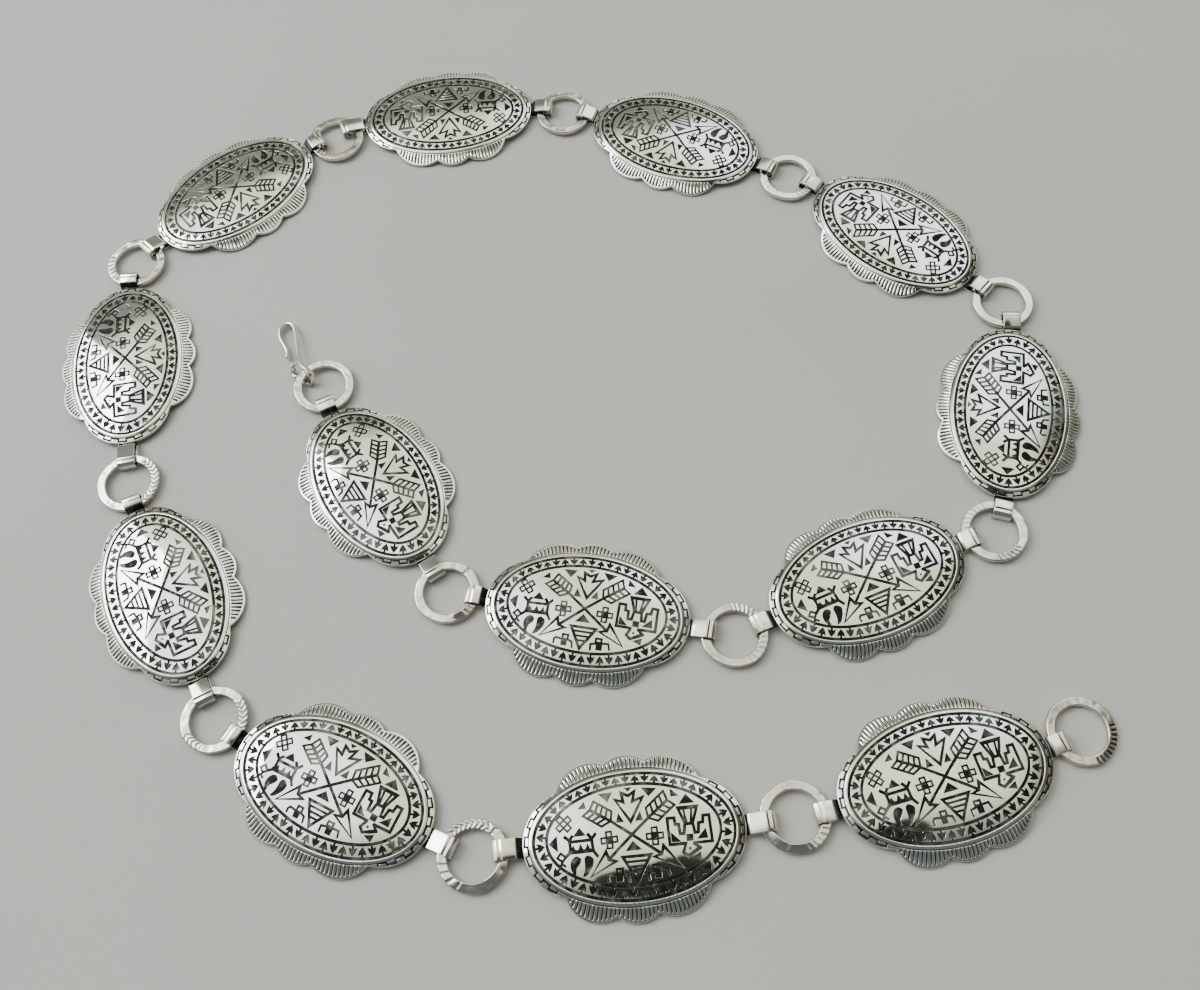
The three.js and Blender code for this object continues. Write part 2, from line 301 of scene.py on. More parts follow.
class Mark:
    """A sunk mark: a line of some width, or a filled shape where the width is nothing."""

    def __init__(self, points, width=0.0, closed=False, depth=LINE_DEPTH, wall=LINE_WALL, ink=1.0):
        self.closed = closed or width == 0
        self.points = np.asarray(points, float)
        self.half = width / 2
        self.wall = min(wall, 0.7 * self.half) if width else wall
        self.depth = depth
        self.ink = ink
        if self.closed:
            self.points = counterclockwise(self.points)

    def loops(self, inset):
        """The mark's edge, or the edge of its floor, as closed loops."""
        if self.half == 0:
            return [shifted(self.points, inset, True) if inset else self.points]
        half = self.half - inset
        if self.closed:
            return [shifted(self.points, half, True), shifted(self.points, -half, True)]
        return [self.open_outline(half)]

    def open_outline(self, half):
        line = self.points.copy()
        start = line[0] - line[1]
        end = line[-1] - line[-2]
        line[0] = line[0] + start / np.linalg.norm(start) * 0.8 * half
        line[-1] = line[-1] + end / np.linalg.norm(end) * 0.8 * half
        return np.concatenate([shifted(line, half, False), shifted(line, -half, False)[::-1]])

    def share_at(self, points):
        """How far each point is down the mark's wall, from 0 at its edge to 1 on its floor."""
        share = np.zeros(len(points))
        margin = 3 * self.half + 0.1
        near = ((points > self.points.min(axis=0) - margin)
                & (points < self.points.max(axis=0) + margin)).all(axis=1)
        if not near.any():
            return share
        edges = self.loops(0)
        distance = np.min([distance_to_line(points[near], edge, True) for edge in edges], axis=0)
        inside = np.sum([is_inside(points[near], edge) for edge in edges], axis=0) % 2 == 1
        share[near] = np.where(inside, np.clip(distance / self.wall, 0, 1), 0)
        return share


def swollen(corners, distance):
    return shifted(counterclockwise(np.asarray(corners, float)), -distance, True)


def panel(corners):
    """A filled shape: a dark line round a greyer middle."""
    corners = counterclockwise(np.asarray(corners, float))
    inner = shifted(corners, LINE_WIDTH / 2, True)
    return [Mark(corners, depth=PANEL_DEPTH, ink=PANEL_INK), Mark(inner, LINE_WIDTH, closed=True)]


def arrow_marks(arrow):
    """An arrow with two striped vanes at its tail and a swallow-tailed outline head."""
    notch, joint = np.array(arrow["notch"]), np.array(arrow["joint"])
    head = [arrow["head_notch"], arrow["barbs"][0], arrow["tip"], arrow["barbs"][1]]
    marks = [Mark([notch, joint, arrow["crossing"], arrow["head_notch"]], LINE_WIDTH)]
    marks.append(Mark(head, LINE_WIDTH, closed=True))
    for back, front in arrow["vanes"]:
        back, front = np.array(back), np.array(front)
        marks.append(Mark([notch, back, front, joint], FINE_WIDTH))
        for share in (0.25, 0.5, 0.75):
            inner = notch + share * (joint - notch)
            marks.append(Mark([inner, back + share * (front - back)], FINE_WIDTH))
    return marks


ARROWS = (
    {"notch": (-9.7, 6.6), "joint": (-5.1, 3.6), "crossing": (-0.5, 0.1), "head_notch": (5.9, -4.8),
     "vanes": (((-8.7, 8.5), (-4.7, 5.8)), ((-11.4, 5.4), (-7.3, 2.6))),
     "barbs": ((6.4, -3.0), (4.1, -5.25)), "tip": (10.3, -8.05)},
    {"notch": (8.4, 7.1), "joint": (3.6, 3.5), "crossing": (-0.5, 0.1), "head_notch": (-6.3, -4.9),
     "vanes": (((7.7, 9.3), (3.3, 5.8)), ((10.0, 5.9), (5.8, 2.6))),
     "barbs": ((-6.8, -3.05), (-4.65, -5.4)), "tip": (-10.7, -8.2)},
)


def flower_marks(centre, petal, reach, turn, dark_middle):
    """Four square outlines round a middle."""
    marks = []
    half = petal / 2
    square = np.array([(-half, -half), (half, -half), (half, half), (-half, half)])
    for quarter in range(4):
        leaf = turned(square + (reach, 0), turn + 90 * quarter) + centre
        marks.append(Mark(leaf, 0.85 * FINE_WIDTH, closed=True))
    if dark_middle:
        marks.append(Mark(turned(square, turn) + centre))
    return marks


def bird_marks():
    """A thunderbird seen from the front: fanned tail above, stepped wings, head below."""
    tail = [(10.6, 5.1), (15.1, 5.1), (13.6, 1.3), (11.9, 1.3)]
    left_wing = [(11.8, 1.3), (11.4, -0.8), (10.5, -0.8), (10.4, 1.3), (9.6, 1.4), (9.5, 2.9),
                 (7.9, 2.9), (7.9, -3.0), (11.6, -3.0)]
    right_wing = [(13.7, 1.3), (13.9, -0.8), (14.7, -0.8), (15.0, 1.3), (16.0, 1.4), (16.2, 2.9),
                  (17.6, 2.9), (17.7, -3.0), (13.5, -3.1)]
    head = [(11.6, -3.1), (10.8, -4.9), (11.8, -5.8), (14.7, -4.2), (13.5, -3.2)]
    heart = [(11.8, -1.0), (13.5, -1.0), (13.5, -2.6), (11.8, -2.6)]
    marks = [Mark(tail, LINE_WIDTH, closed=True), Mark([(10.8, 5.0), (14.9, 5.0)], BOLD_WIDTH)]
    marks += [Mark(line, LINE_WIDTH) for line in (left_wing, right_wing, head)]
    marks.append(Mark(heart))
    marks += [Mark([(11.8, 5.0), (12.3, 1.3)], FINE_WIDTH), Mark([(13.8, 5.0), (13.2, 1.3)], FINE_WIDTH)]
    marks.append(Mark([(13.3, -5.0), (14.6, -4.3)], BOLD_WIDTH))
    marks.append(Mark([(12.1, -3.9), (12.7, -3.9), (12.7, -4.5), (12.1, -4.5)], wall=0.08))
    return marks


def drum_marks():
    """A toothed box with forked horns above and splayed legs below."""
    lines = [[(-16.0, 1.1), (-15.0, 0.2), (-14.85, -1.3), (-15.0, -2.5), (-16.0, -3.3)],
             [(-14.3, 1.1), (-15.0, 0.2)], [(-8.9, 1.1), (-9.8, 0.1)],
             [(-10.6, 1.2), (-9.8, 0.1), (-9.7, -2.5), (-8.8, -3.8)],
             [(-14.8, -0.1), (-9.8, -0.1)]]
    marks = [Mark(line, LINE_WIDTH) for line in lines]
    marks.append(Mark([(-15.1, -2.45), (-9.65, -2.45)], BOLD_WIDTH))
    for left, right, apex in ((-14.9, -13.5, (-14.2, -0.8)), (-13.25, -11.75, (-12.5, -0.6)),
                              (-11.6, -10.2, (-10.9, -0.7))):
        marks.append(Mark([(left, -2.3), (right, -2.3), apex], wall=0.06))
    return marks


def insect_marks():
    """Two squared figures with bent legs under the arrows."""
    marks = [Mark([(-4.7, -8.3), (-4.7, -7.1), (-3.4, -7.1), (-3.4, -8.3)], FINE_WIDTH, closed=True)]
    marks.append(Mark([(-5.1, -8.2), (-3.4, -8.2), (-3.5, -9.9), (-5.0, -9.9)]))
    marks.append(Mark([(3.6, -8.0), (3.6, -7.0), (5.0, -7.0), (5.0, -8.0)], FINE_WIDTH, closed=True))
    marks += panel([(3.7, -8.0), (5.4, -8.0), (5.4, -9.9), (3.8, -9.9)])
    legs = [[(-5.1, -8.3), (-6.4, -8.1), (-6.8, -8.6), (-6.75, -9.5)],
            [(-3.2, -8.35), (-2.3, -8.7), (-2.0, -10.0)],
            [(3.7, -8.3), (2.4, -8.6), (2.5, -10.0)],
            [(5.3, -8.05), (6.8, -7.95), (7.2, -9.3)]]
    marks += [Mark(leg, FINE_WIDTH) for leg in legs]
    return marks


def hoof_marks():
    """Two curved drops side by side, dark round a lighter middle."""
    left = [(-13.4, -3.6), (-12.7, -4.3), (-13.2, -5.2), (-13.9, -6.0), (-14.2, -7.3),
            (-14.8, -6.5), (-15.0, -5.4), (-14.7, -4.3), (-14.1, -3.7)]
    right = [(-11.0, -3.6), (-10.0, -4.3), (-10.0, -5.3), (-10.4, -6.2), (-11.3, -7.4), (-12.3, -7.9),
             (-11.9, -6.9), (-11.7, -5.9), (-11.7, -4.7), (-11.6, -4.0)]
    return [mark for drop in (left, right) for mark in panel(swollen(smooth_loop(drop, 3), 0.18))]


def triangle_marks():
    large = (
        [(-7.2, 10.0), (-4.3, 10.1), (-5.5, 8.2)], [(2.9, 10.5), (6.0, 10.1), (4.2, 8.6)],
        [(12.8, 8.0), (11.2, 6.1), (14.4, 6.1)], [(-0.5, -1.5), (-2.1, -3.3), (1.2, -3.3)],
        [(-17.9, 1.4), (-19.6, -0.1), (-17.9, -1.8)], [(-12.5, 2.7), (-13.8, 1.1), (-11.3, 1.1)],
    )
    small = (
        [(-11.0, 8.5), (-12.3, 7.2), (-10.7, 7.2)], [(9.4, 9.5), (9.4, 8.0), (11.0, 8.0)],
        [(-3.2, 5.0), (-3.7, 3.2), (-2.2, 3.2)], [(1.8, 5.0), (0.7, 3.2), (2.2, 3.2)],
        [(8.5, -0.5), (8.5, -2.4), (10.3, -2.4)], [(16.4, -0.2), (14.5, -2.1), (16.7, -2.1)],
        [(14.6, -5.3), (12.8, -6.2), (14.5, -6.8)],
    )
    marks = [mark for corners in large for mark in panel(swollen(corners, 0.16))]
    marks += [Mark(swollen(corners, 0.16)) for corners in small]
    marks.append(Mark([(-1.5, 11.0), (-0.5, 9.9), (0.6, 11.0)], depth=0.12, ink=0.6))
    return marks


def striped_triangle_marks():
    left, right, foot = np.array([(-3.1, -4.7), (3.25, -4.7), (-0.15, -10.1)])
    marks = [Mark([left, right, foot], LINE_WIDTH, closed=True)]
    for share in (0.21, 0.42, 0.63):
        marks.append(Mark([left + (foot - left) * share, right + (foot - right) * share], FINE_WIDTH))
    return marks


def field_marks():
    """The design inside the border."""
    crown = [(-3.7, 8.4), (-1.8, 7.6), (-2.1, 9.8), (-0.5, 9.0), (1.0, 9.9), (0.3, 7.6), (2.8, 8.4),
             (-0.5, 3.0)]
    diamond = [(-17.2, -2.4), (-16.1, -3.35), (-16.9, -4.25), (-18.05, -3.35)]
    marks = [mark for arrow in ARROWS for mark in arrow_marks(arrow)]
    marks += [Mark(crown, LINE_WIDTH, closed=True), Mark(diamond, FINE_WIDTH, closed=True)]
    marks.append(Mark([(-17.0, -4.4), (-17.5, -5.4)], FINE_WIDTH))
    marks.append(Mark([(-17.2, -4.6), (-16.3, -5.3)], FINE_WIDTH))
    marks += flower_marks((-5.8, -0.6), 1.2, 1.25, 2, True)
    marks += flower_marks((4.7, -0.7), 1.2, 1.3, 0, True)
    marks += flower_marks((-16.0, 4.1), 1.25, 1.25, 40, False)
    marks += bird_marks() + drum_marks() + insect_marks() + hoof_marks()
    return marks + triangle_marks() + striped_triangle_marks()


def even_stations(line, count, start=0.0):
    """Points at even steps along a closed line, with the outward direction at each."""
    closed = np.concatenate([line, line[:1]])
    steps = np.linalg.norm(np.diff(closed, axis=0), axis=1)
    reached = np.concatenate([[0], np.cumsum(steps)])
    at = start + np.arange(count) * reached[-1] / count
    points = np.stack([np.interp(at, reached, closed[:, axis]) for axis in (0, 1)], axis=1)
    along = unit_rows(np.roll(points, -1, axis=0) - np.roll(points, 1, axis=0))
    return points, np.stack([along[:, 1], -along[:, 0]], axis=1)


# Outline of a border arrow's head: millimetres across it, and the share of the room along it
BORDER_HEAD = ((-1.1, -0.3), (0, -0.17), (1.1, -0.3), (0.78, 0.04), (0, 0.36), (-0.78, 0.04))


def border_marks():
    """Two groove ovals and the small arrows between them, hung from the one and the other by turns."""
    inner = oval_points(FIELD_OVAL, 150) + FIELD_MIDDLE
    outer = oval_points(OUTER_GROOVE_OVAL, 150)
    marks = [Mark(inner, LINE_WIDTH, closed=True), Mark(outer, LINE_WIDTH, closed=True)]
    marks.append(Mark(oval_points(BORDER_OVAL + 0.15, 180), 0.3, closed=True, depth=0.1, ink=0.8))
    middle = (inner + outer) / 2
    stations, outward = even_stations(middle, BORDER_ARROWS, BORDER_ARROW_START)
    rooms = 2 * distance_to_line(stations, inner, True)
    for index, (centre, out, room) in enumerate(zip(stations, outward, rooms)):
        ahead = out if index % 2 else -out
        across = np.array([-ahead[1], ahead[0]])
        head = [centre + room * along * ahead + side * across for side, along in BORDER_HEAD]
        marks.append(Mark(head, wall=0.05))
        marks.append(Mark([centre - 0.1 * room * ahead, centre - 0.5 * room * ahead], FINE_WIDTH))
    return marks


def ray_to_outline(start, direction, outline):
    """Distance from a point to the outline along a direction."""
    ends = np.roll(outline, -1, axis=0)
    edge = ends - outline
    offset = outline - start
    cross = direction[0] * edge[:, 1] - direction[1] * edge[:, 0]
    cross = np.where(np.abs(cross) < 1e-9, 1e-9, cross)
    reach = (offset[:, 0] * edge[:, 1] - offset[:, 1] * edge[:, 0]) / cross
    share = (offset[:, 0] * direction[1] - offset[:, 1] * direction[0]) / cross
    hits = reach[(share >= 0) & (share <= 1) & (reach > 0)]
    return hits.min() if len(hits) else 0.0


def scallop_lines(outline, half_steps):
    """Lines across the long sides' flange, from the crease to just inside the rim."""
    stations, outward = even_stations(oval_points(BORDER_OVAL, 720), 2 * SCALLOP_GROOVES)
    for start, out in list(zip(stations, outward))[half_steps::2]:
        reach = ray_to_outline(start, out, outline)
        if abs(start[0] + reach * out[0]) < SCALLOPS_END and reach > 1.6:
            yield start + 0.4 * out, start + (reach - 0.6) * out, out


def scallop_marks(outline):
    """Grooves on the long sides' scallops, wider towards the edge."""
    marks = []
    for near, far, out in scallop_lines(outline, 0):
        across = np.array([-out[1], out[0]])
        marks.append(Mark([near - 0.18 * across, far - 0.25 * across, far + 0.12 * out,
                           far + 0.25 * across, near + 0.18 * across], wall=0.11, depth=0.24,
                          ink=GROOVE_INK))
    return marks


def end_marks(outline):
    """A battlement line on the plain flange at each end."""
    marks = []
    stations, outward = even_stations(oval_points(BORDER_OVAL, 720), END_STATIONS)
    for side in (1, -1):
        chosen = [i for i in range(len(stations)) if side * stations[i][0] > SCALLOPS_END + 0.2]
        chosen.sort(key=lambda i: side * math.atan2(stations[i][1], side * stations[i][0]))
        line = []
        for order, index in enumerate(chosen):
            start, out = stations[index], outward[index]
            reach = ray_to_outline(start, out, outline)
            low, high = 0.24 * reach, 0.68 * reach
            levels = (low, high) if order % 2 else (high, low)
            line += [start + level * out for level in levels]
        marks.append(Mark(line, 0.5, depth=0.17))
    return marks


# The plate's surface

def plate_outline():
    """The scalloped outline, counterclockwise: an arc over each pair of notches."""
    points = []
    for index, notch in enumerate(NOTCHES):
        start = np.array(notch["at"])
        end = np.array(NOTCHES[(index + 1) % len(NOTCHES)]["at"])
        half = np.linalg.norm(end - start) / 2
        bulge = notch["bulge"]
        radius = (half ** 2 + bulge ** 2) / (2 * bulge)
        along = (end - start) / (2 * half)
        out = np.array([along[1], -along[0]])
        angle = math.asin(min(1, half / radius)) * (2 * np.arange(notch["steps"]) / notch["steps"] - 1)
        u = radius * np.sin(angle)[:, None]
        v = (radius * np.cos(angle) - (radius - bulge))[:, None]
        points.append((start + end) / 2 + u * along + v * out)
    return np.concatenate(points)


def dome_height(points):
    return CROWN_HEIGHT - DOME_DROP * ((points / BORDER_OVAL) ** 2).sum(axis=1)


def border_point(points):
    """The border oval's point beside each point."""
    angle = np.arctan2(points[:, 1] / BORDER_OVAL[1], points[:, 0] / BORDER_OVAL[0])
    return np.stack([np.cos(angle), np.sin(angle)], axis=1) * BORDER_OVAL


def border_distance(points):
    """Distance outside the border oval, negative inside it."""
    inside = ((points / BORDER_OVAL) ** 2).sum(axis=1) < 1
    return np.linalg.norm(points - border_point(points), axis=1) * np.where(inside, -1, 1)


def plate_height(points, waves):
    """Upper surface: a low dome with a rounded border bead, and a steeper flange outside it."""
    border = border_point(points)
    width = border_distance(points)
    toward_end = smooth_step(np.abs(points[:, 0]), NOTCHES[0]["at"][0], PLATE_HALF_LENGTH)
    slope = FLANGE_SLOPE + (FLANGE_SLOPE_AT_END - FLANGE_SLOPE) * toward_end
    dome = dome_height(points)
    flange = dome_height(border) - slope * width
    height = (dome + flange - np.sqrt((dome - flange) ** 2 + CREASE_SOFTNESS ** 2)) / 2
    height += BEAD_HEIGHT * np.exp(-((width + BEAD_INSET) / BEAD_WIDTH) ** 2)
    for wave in waves:
        height += wave["height"] * np.sin(points @ wave["pitch"] + wave["phase"])
    return height


def plate_normals(points, waves):
    step = 0.04
    east = plate_height(points + (step, 0), waves) - plate_height(points - (step, 0), waves)
    north = plate_height(points + (0, step), waves) - plate_height(points - (0, step), waves)
    normals = np.stack([-east / (2 * step), -north / (2 * step), np.ones(len(points))], axis=1)
    return unit_rows(normals)


def hand_waves(random):
    """Slight unevenness of one plate's surface."""
    waves = []
    for size in UNEVENNESS:
        for _ in range(2):
            bearing = random.uniform(0, 2 * math.pi)
            pitch = 2 * math.pi / (size["length"] * random.uniform(0.85, 1.15))
            waves.append({"height": size["height"] * random.uniform(0.5, 1),
                          "phase": random.uniform(0, 2 * math.pi),
                          "pitch": np.array([math.cos(bearing), math.sin(bearing)]) * pitch})
    return waves


def grid_points(rim, marks):
    """An even grid inside the rim that keeps clear of the marks."""
    rows = np.arange(-GRID_REACH[1], GRID_REACH[1], GRID_STEP * math.sqrt(3) / 2)
    points = []
    for index, y in enumerate(rows):
        x = np.arange(-GRID_REACH[0], GRID_REACH[0], GRID_STEP) + (index % 2) * GRID_STEP / 2
        points.append(np.stack([x, np.full(len(x), y)], axis=1))
    points = np.concatenate(points)
    beside_band = np.abs(border_distance(points) + 0.3) > 1.2
    keep = beside_band & is_inside(points, rim) & (distance_to_line(points, rim, True) > 0.4)
    band = [oval_points(BORDER_OVAL + offset, BAND_POINTS) for offset in BAND_OFFSETS]
    for chosen, margin in ((points[keep], 0.22), (np.concatenate(band), 0.12)):
        for mark in marks:
            clear = distance_to_line(chosen, mark.points, mark.closed) > mark.half + margin
            chosen = chosen[clear]
        yield chosen


def stamped_face(outline):
    """Triangles of the upper face with the design's edges in them, worked out once for all plates."""
    marks = field_marks() + border_marks() + scallop_marks(outline) + end_marks(outline)
    rim = shifted(outline, RIM_RADIUS, True)
    loops = [rim]
    for mark in marks:
        loops += mark.loops(0) + mark.loops(mark.wall)
    vertices = []
    edges = []
    for loop in loops:
        first = len(vertices)
        vertices += [Vector(point) for point in loop]
        edges += [(first + i, first + (i + 1) % len(loop)) for i in range(len(loop))]
    first_crest = len(vertices)
    for near, far, _ in scallop_lines(outline, 1):
        first = len(vertices)
        vertices += [Vector(near + (far - near) * share) for share in (0, 0.33, 0.67, 1)]
        edges += [(first + i, first + i + 1) for i in range(3)]
    last_crest = len(vertices)
    for group in grid_points(rim, marks):
        vertices += [Vector(point) for point in group]
    found, _, faces, origins, _, _ = delaunay_2d_cdt(vertices, edges, [], TRIANGLES_INSIDE,
                                                     MERGE_DISTANCE)
    points = np.array([tuple(point) for point in found])
    rim_index = np.full(len(rim), -1)
    crests = []
    for index, sources in enumerate(origins):
        for source in sources:
            if source < len(rim):
                rim_index[source] = index
            if first_crest <= source < last_crest:
                crests.append(index)
    sink = np.zeros(len(points))
    ink = np.zeros(len(points))
    for mark in marks:
        share = mark.share_at(points)
        sink = np.maximum(sink, share * mark.depth)
        ink = np.maximum(ink, share * mark.ink)
    sink[crests] = -RIDGE_LIFT
    return {"points": points, "faces": np.array(faces), "rim": rim_index, "sink": sink, "ink": ink}


def rim_and_underside(outline, waves, first):
    """Rounded edge and plain underside: rings of points from the rim inwards, and their faces."""
    profile = []
    for step in range(1, RIM_STEPS + 1):
        angle = step * math.pi / (2 * RIM_STEPS)
        profile.append((RIM_RADIUS * (1 - math.sin(angle)), RIM_RADIUS * (1 - math.cos(angle))))
    profile += [(inset, SHEET - drop) for inset, drop in reversed(profile)]
    profile.append((RIM_RADIUS, SHEET))
    rim_height = plate_height(shifted(outline, RIM_RADIUS, True), waves)
    rings = []
    for inset, drop in profile:
        ring = shifted(outline, inset, True)
        rings.append(np.column_stack([ring, rim_height - drop]))
    inner = shifted(outline, RIM_RADIUS, True)
    for share in UNDERSIDE_SHARES:
        ring = inner * share
        rings.append(np.column_stack([ring, plate_height(ring, waves) - SHEET]))
    middle = np.zeros((1, 2))
    centre = np.column_stack([middle, plate_height(middle, waves) - SHEET])
    count = len(outline)
    faces = []
    for row in range(len(rings) - 1):
        for i in range(count):
            j = (i + 1) % count
            a = first + row * count
            faces.append((a + i, a + count + i, a + count + j, a + j))
    last = first + (len(rings) - 1) * count
    for i in range(count):
        faces.append((last + i, first + len(rings) * count, last + (i + 1) % count))
    return np.concatenate(rings + [centre]), faces


def plate_piece(index, face, outline, place, material):
    """One stamped plate with its own unevenness."""
    waves = hand_waves(np.random.RandomState(PLATE_SEED + index))
    flat = face["points"]
    height = plate_height(flat, waves)
    normals = plate_normals(flat, waves)
    top = np.column_stack([flat, height - face["sink"]])
    count = len(outline)
    first = len(top)
    lower, lower_faces = rim_and_underside(outline, waves, first)
    faces = [tuple(corner) for corner in face["faces"].tolist()]
    rim = face["rim"]
    for i in range(count):
        j = (i + 1) % count
        faces.append((int(rim[i]), first + i, first + j, int(rim[j])))
    faces += lower_faces
    level = face["sink"][face["faces"]]
    floor = face["sink"].max()
    is_level = (level.max(axis=1) - level.min(axis=1)) < LEVEL_SHARE * floor
    loop_normals = np.zeros((sum(len(corners) for corners in faces), 3))
    spans = np.repeat(is_level, 3)
    chosen = normals[face["faces"].reshape(-1)]
    loop_normals[: len(spans)][spans] = chosen[spans]
    piece = make_piece(f"plate_{index + 1:02d}", np.concatenate([top, lower]), faces, place, material)
    ink = np.concatenate([face["ink"], np.zeros(len(lower))])
    set_ink(piece, ink)
    turn = np.array(place.to_3x3())
    piece.data.normals_split_custom_set((loop_normals @ turn.T).tolist())
    return piece


# Strips that follow a path

def rounded_path(corners, steps):
    """A path with each corner (point, radius) rounded by an arc of so many steps."""
    points = [np.array(corners[0][0], float)]
    for index in range(1, len(corners) - 1):
        before, here, after = (np.array(corners[index + k][0], float) for k in (-1, 0, 1))
        to_before = before - here
        to_after = after - here
        reach = min(np.linalg.norm(to_before), np.linalg.norm(to_after)) * 0.48
        to_before /= np.linalg.norm(to_before)
        to_after /= np.linalg.norm(to_after)
        half_angle = math.acos(np.clip(to_before @ to_after, -1, 1)) / 2
        length = min(corners[index][1] / math.tan(half_angle), reach)
        start = here + length * to_before
        end = here + length * to_after
        for step in range(steps + 1):
            share = step / steps
            points.append((1 - share) ** 2 * start + 2 * share * (1 - share) * here + share ** 2 * end)
    points.append(np.array(corners[-1][0], float))
    return np.array(points)


def strip_section(width, thickness, radius):
    """A flat rectangle with rounded corners, as (across, out) pairs, counterclockwise."""
    points = []
    for centre_x, centre_y, turn in ((1, 1, 0), (-1, 1, 90), (-1, -1, 180), (1, -1, 270)):
        for step in (0, 30, 60, 90):
            angle = math.radians(turn + step)
            points.append((centre_x * (width / 2 - radius) + radius * math.cos(angle),
                           centre_y * (thickness / 2 - radius) + radius * math.sin(angle)))
    return points


def lattice_faces(rows, count, wraps=False):
    """Quads between each row of points and the next, and from the last to the first if it wraps."""
    faces = []
    for row in range(rows if wraps else rows - 1):
        here = row * count
        there = (row + 1) % rows * count
        for i in range(count):
            j = (i + 1) % count
            faces.append((here + i, here + j, there + j, there + i))
    return faces


def sweep(middles, across, out, section):
    """Points and faces of a closed body that carries the section along the path."""
    count = len(section)
    rows = [middle + u * a + v * o for middle, a, o in zip(middles, across, out) for u, v in section]
    faces = lattice_faces(len(middles), count)
    faces.append(tuple(reversed(range(count))))
    last = (len(middles) - 1) * count
    faces.append(tuple(range(last, last + count)))
    return np.array(rows), faces


def joint_to(plate, side, ring):
    """How far the strap turns towards its ring, and the eye's far end from the plate's rim."""
    angle = math.radians(plate["heading"])
    dx = ring["x"] - plate["x"]
    dy = ring["y"] - plate["y"]
    s = side * (dx * math.cos(angle) + dy * math.sin(angle)) - PLATE_HALF_LENGTH
    across = side * (dy * math.cos(angle) - dx * math.sin(angle))
    yaw = max(-YAW_LIMIT, min(YAW_LIMIT, YAW_SHARE * math.atan2(across, s + YAW_PIVOT)))
    along_strap = s * math.cos(yaw) + across * math.sin(yaw)
    across_strap = abs(across * math.cos(yaw) - s * math.sin(yaw)) + STRAP_WIDTH / 2
    clear = RING_INNER - EYE_GAP
    return yaw, along_strap - math.sqrt(clear ** 2 - across_strap ** 2)


def strap_path(reach, side):
    """Side view of the strap's middle: under the dome, out past the rim, over the band and back."""
    half = STRAP_THICKNESS / 2
    far = reach + half
    top = ARCH_HEIGHT - half
    corners = []
    for s in (-TAB_LENGTH, -4.5, -1.8):
        under = dome_height(np.array([[PLATE_HALF_LENGTH + s, 0.0]]))[0] - SHEET + SOLDER_DEPTH
        corners.append(((s, under - half), 2.0))
    knee = (0.8, top - 0.8) if side > 0 else (1.5, top - 0.25)
    corners += [((-0.15, 0.95), 0.6), ((0.25, 1.1), 0.3), (knee, 0.4), ((far - 2.1, top), 0.5),
                ((far - 1.55, top - 0.2), 0.3), ((far - 0.8, top - 0.12), 0.5),
                ((far, top - 0.65), 0.5), ((far, half), 0.5), ((-2.4, half), 0.5), ((-3.4, 1.0), 0.5)]
    return rounded_path(corners, CURVE_STEPS)


def strap_piece(name, plate, side, ring, place, material):
    """A bent strip; its width runs across the plate's end."""
    yaw, reach = joint_to(plate, side, ring)
    path = strap_path(reach, side)
    keep = np.concatenate([[True], np.linalg.norm(np.diff(path, axis=0), axis=1) > 1e-3])
    path = path[keep]
    along = unit_rows(np.gradient(path, axis=0))
    count = len(path)
    middles = np.column_stack([path[:, 0], np.zeros(count), path[:, 1]])
    across = np.tile([0.0, 1.0, 0.0], (count, 1))
    out = np.column_stack([along[:, 1], np.zeros(count), -along[:, 0]])
    section = strip_section(STRAP_WIDTH, STRAP_THICKNESS, STRAP_EDGE)
    points, faces = sweep(middles, across, out, section)
    turn = yaw + (math.pi if side < 0 else 0)
    turned_points = points.copy()
    turned_points[:, :2] = turned(points[:, :2], math.degrees(turn)) + (side * PLATE_HALF_LENGTH, 0)
    piece = make_piece(name, turned_points, faces, place, material)
    piece.data.set_sharp_from_angle(angle=math.radians(STRAP_SHARP_ANGLE))
    # Painted shade on the strap where it comes out from under the plate's rim, with some blackening; the
    # tab under the dome and the lower leg stay bright
    dark_until = 0.7 if side > 0 else 1.6
    darkness = STRAP_RIM_SHADE_AND_OXIDE * (1 - smooth_step(path[:, 0], dark_until - 0.5, dark_until))
    darkness *= smooth_step(path[:, 0], -2.5, -1.0) * smooth_step(path[:, 1], 0.4, 0.8)
    set_ink(piece, np.repeat(darkness, len(section)))
    return piece


# Rings

def hammer_marks(random):
    """Shallow round dents scattered over the band."""
    return {"angle": random.uniform(0, 2 * math.pi, HAMMER_DENTS),
            "radius": random.uniform(RING_INNER - 0.2, RING_OUTER + 0.2, HAMMER_DENTS),
            "size": random.uniform(0.5, 1.0, HAMMER_DENTS),
            "depth": random.uniform(-0.03, 0.06, HAMMER_DENTS)}


# Ways in which a stretch of a band is punched: sunk depth, pitch, slant across the band, darkness
# and the share of the width, from the hole outwards, where the cuts begin
NOTCH_STYLES = {
    "faint": {"sunk": 0.06, "pitch": 1.4, "slant": 0.5, "dark": 0.1, "from": 0.0},
    "rope": {"sunk": 0.16, "pitch": 1.15, "slant": 0.9, "dark": 0.12, "from": 0.0},
    "chevron": {"sunk": 0.15, "pitch": 1.3, "slant": 0.9, "dark": 0.24, "from": 0.0},
    "facets": {"sunk": 0.14, "pitch": 2.1, "slant": -0.8, "dark": 0.1, "from": 0.0},
    "deep": {"sunk": 0.28, "pitch": 1.12, "slant": 0.2, "dark": 1.0, "from": 0.25},
}


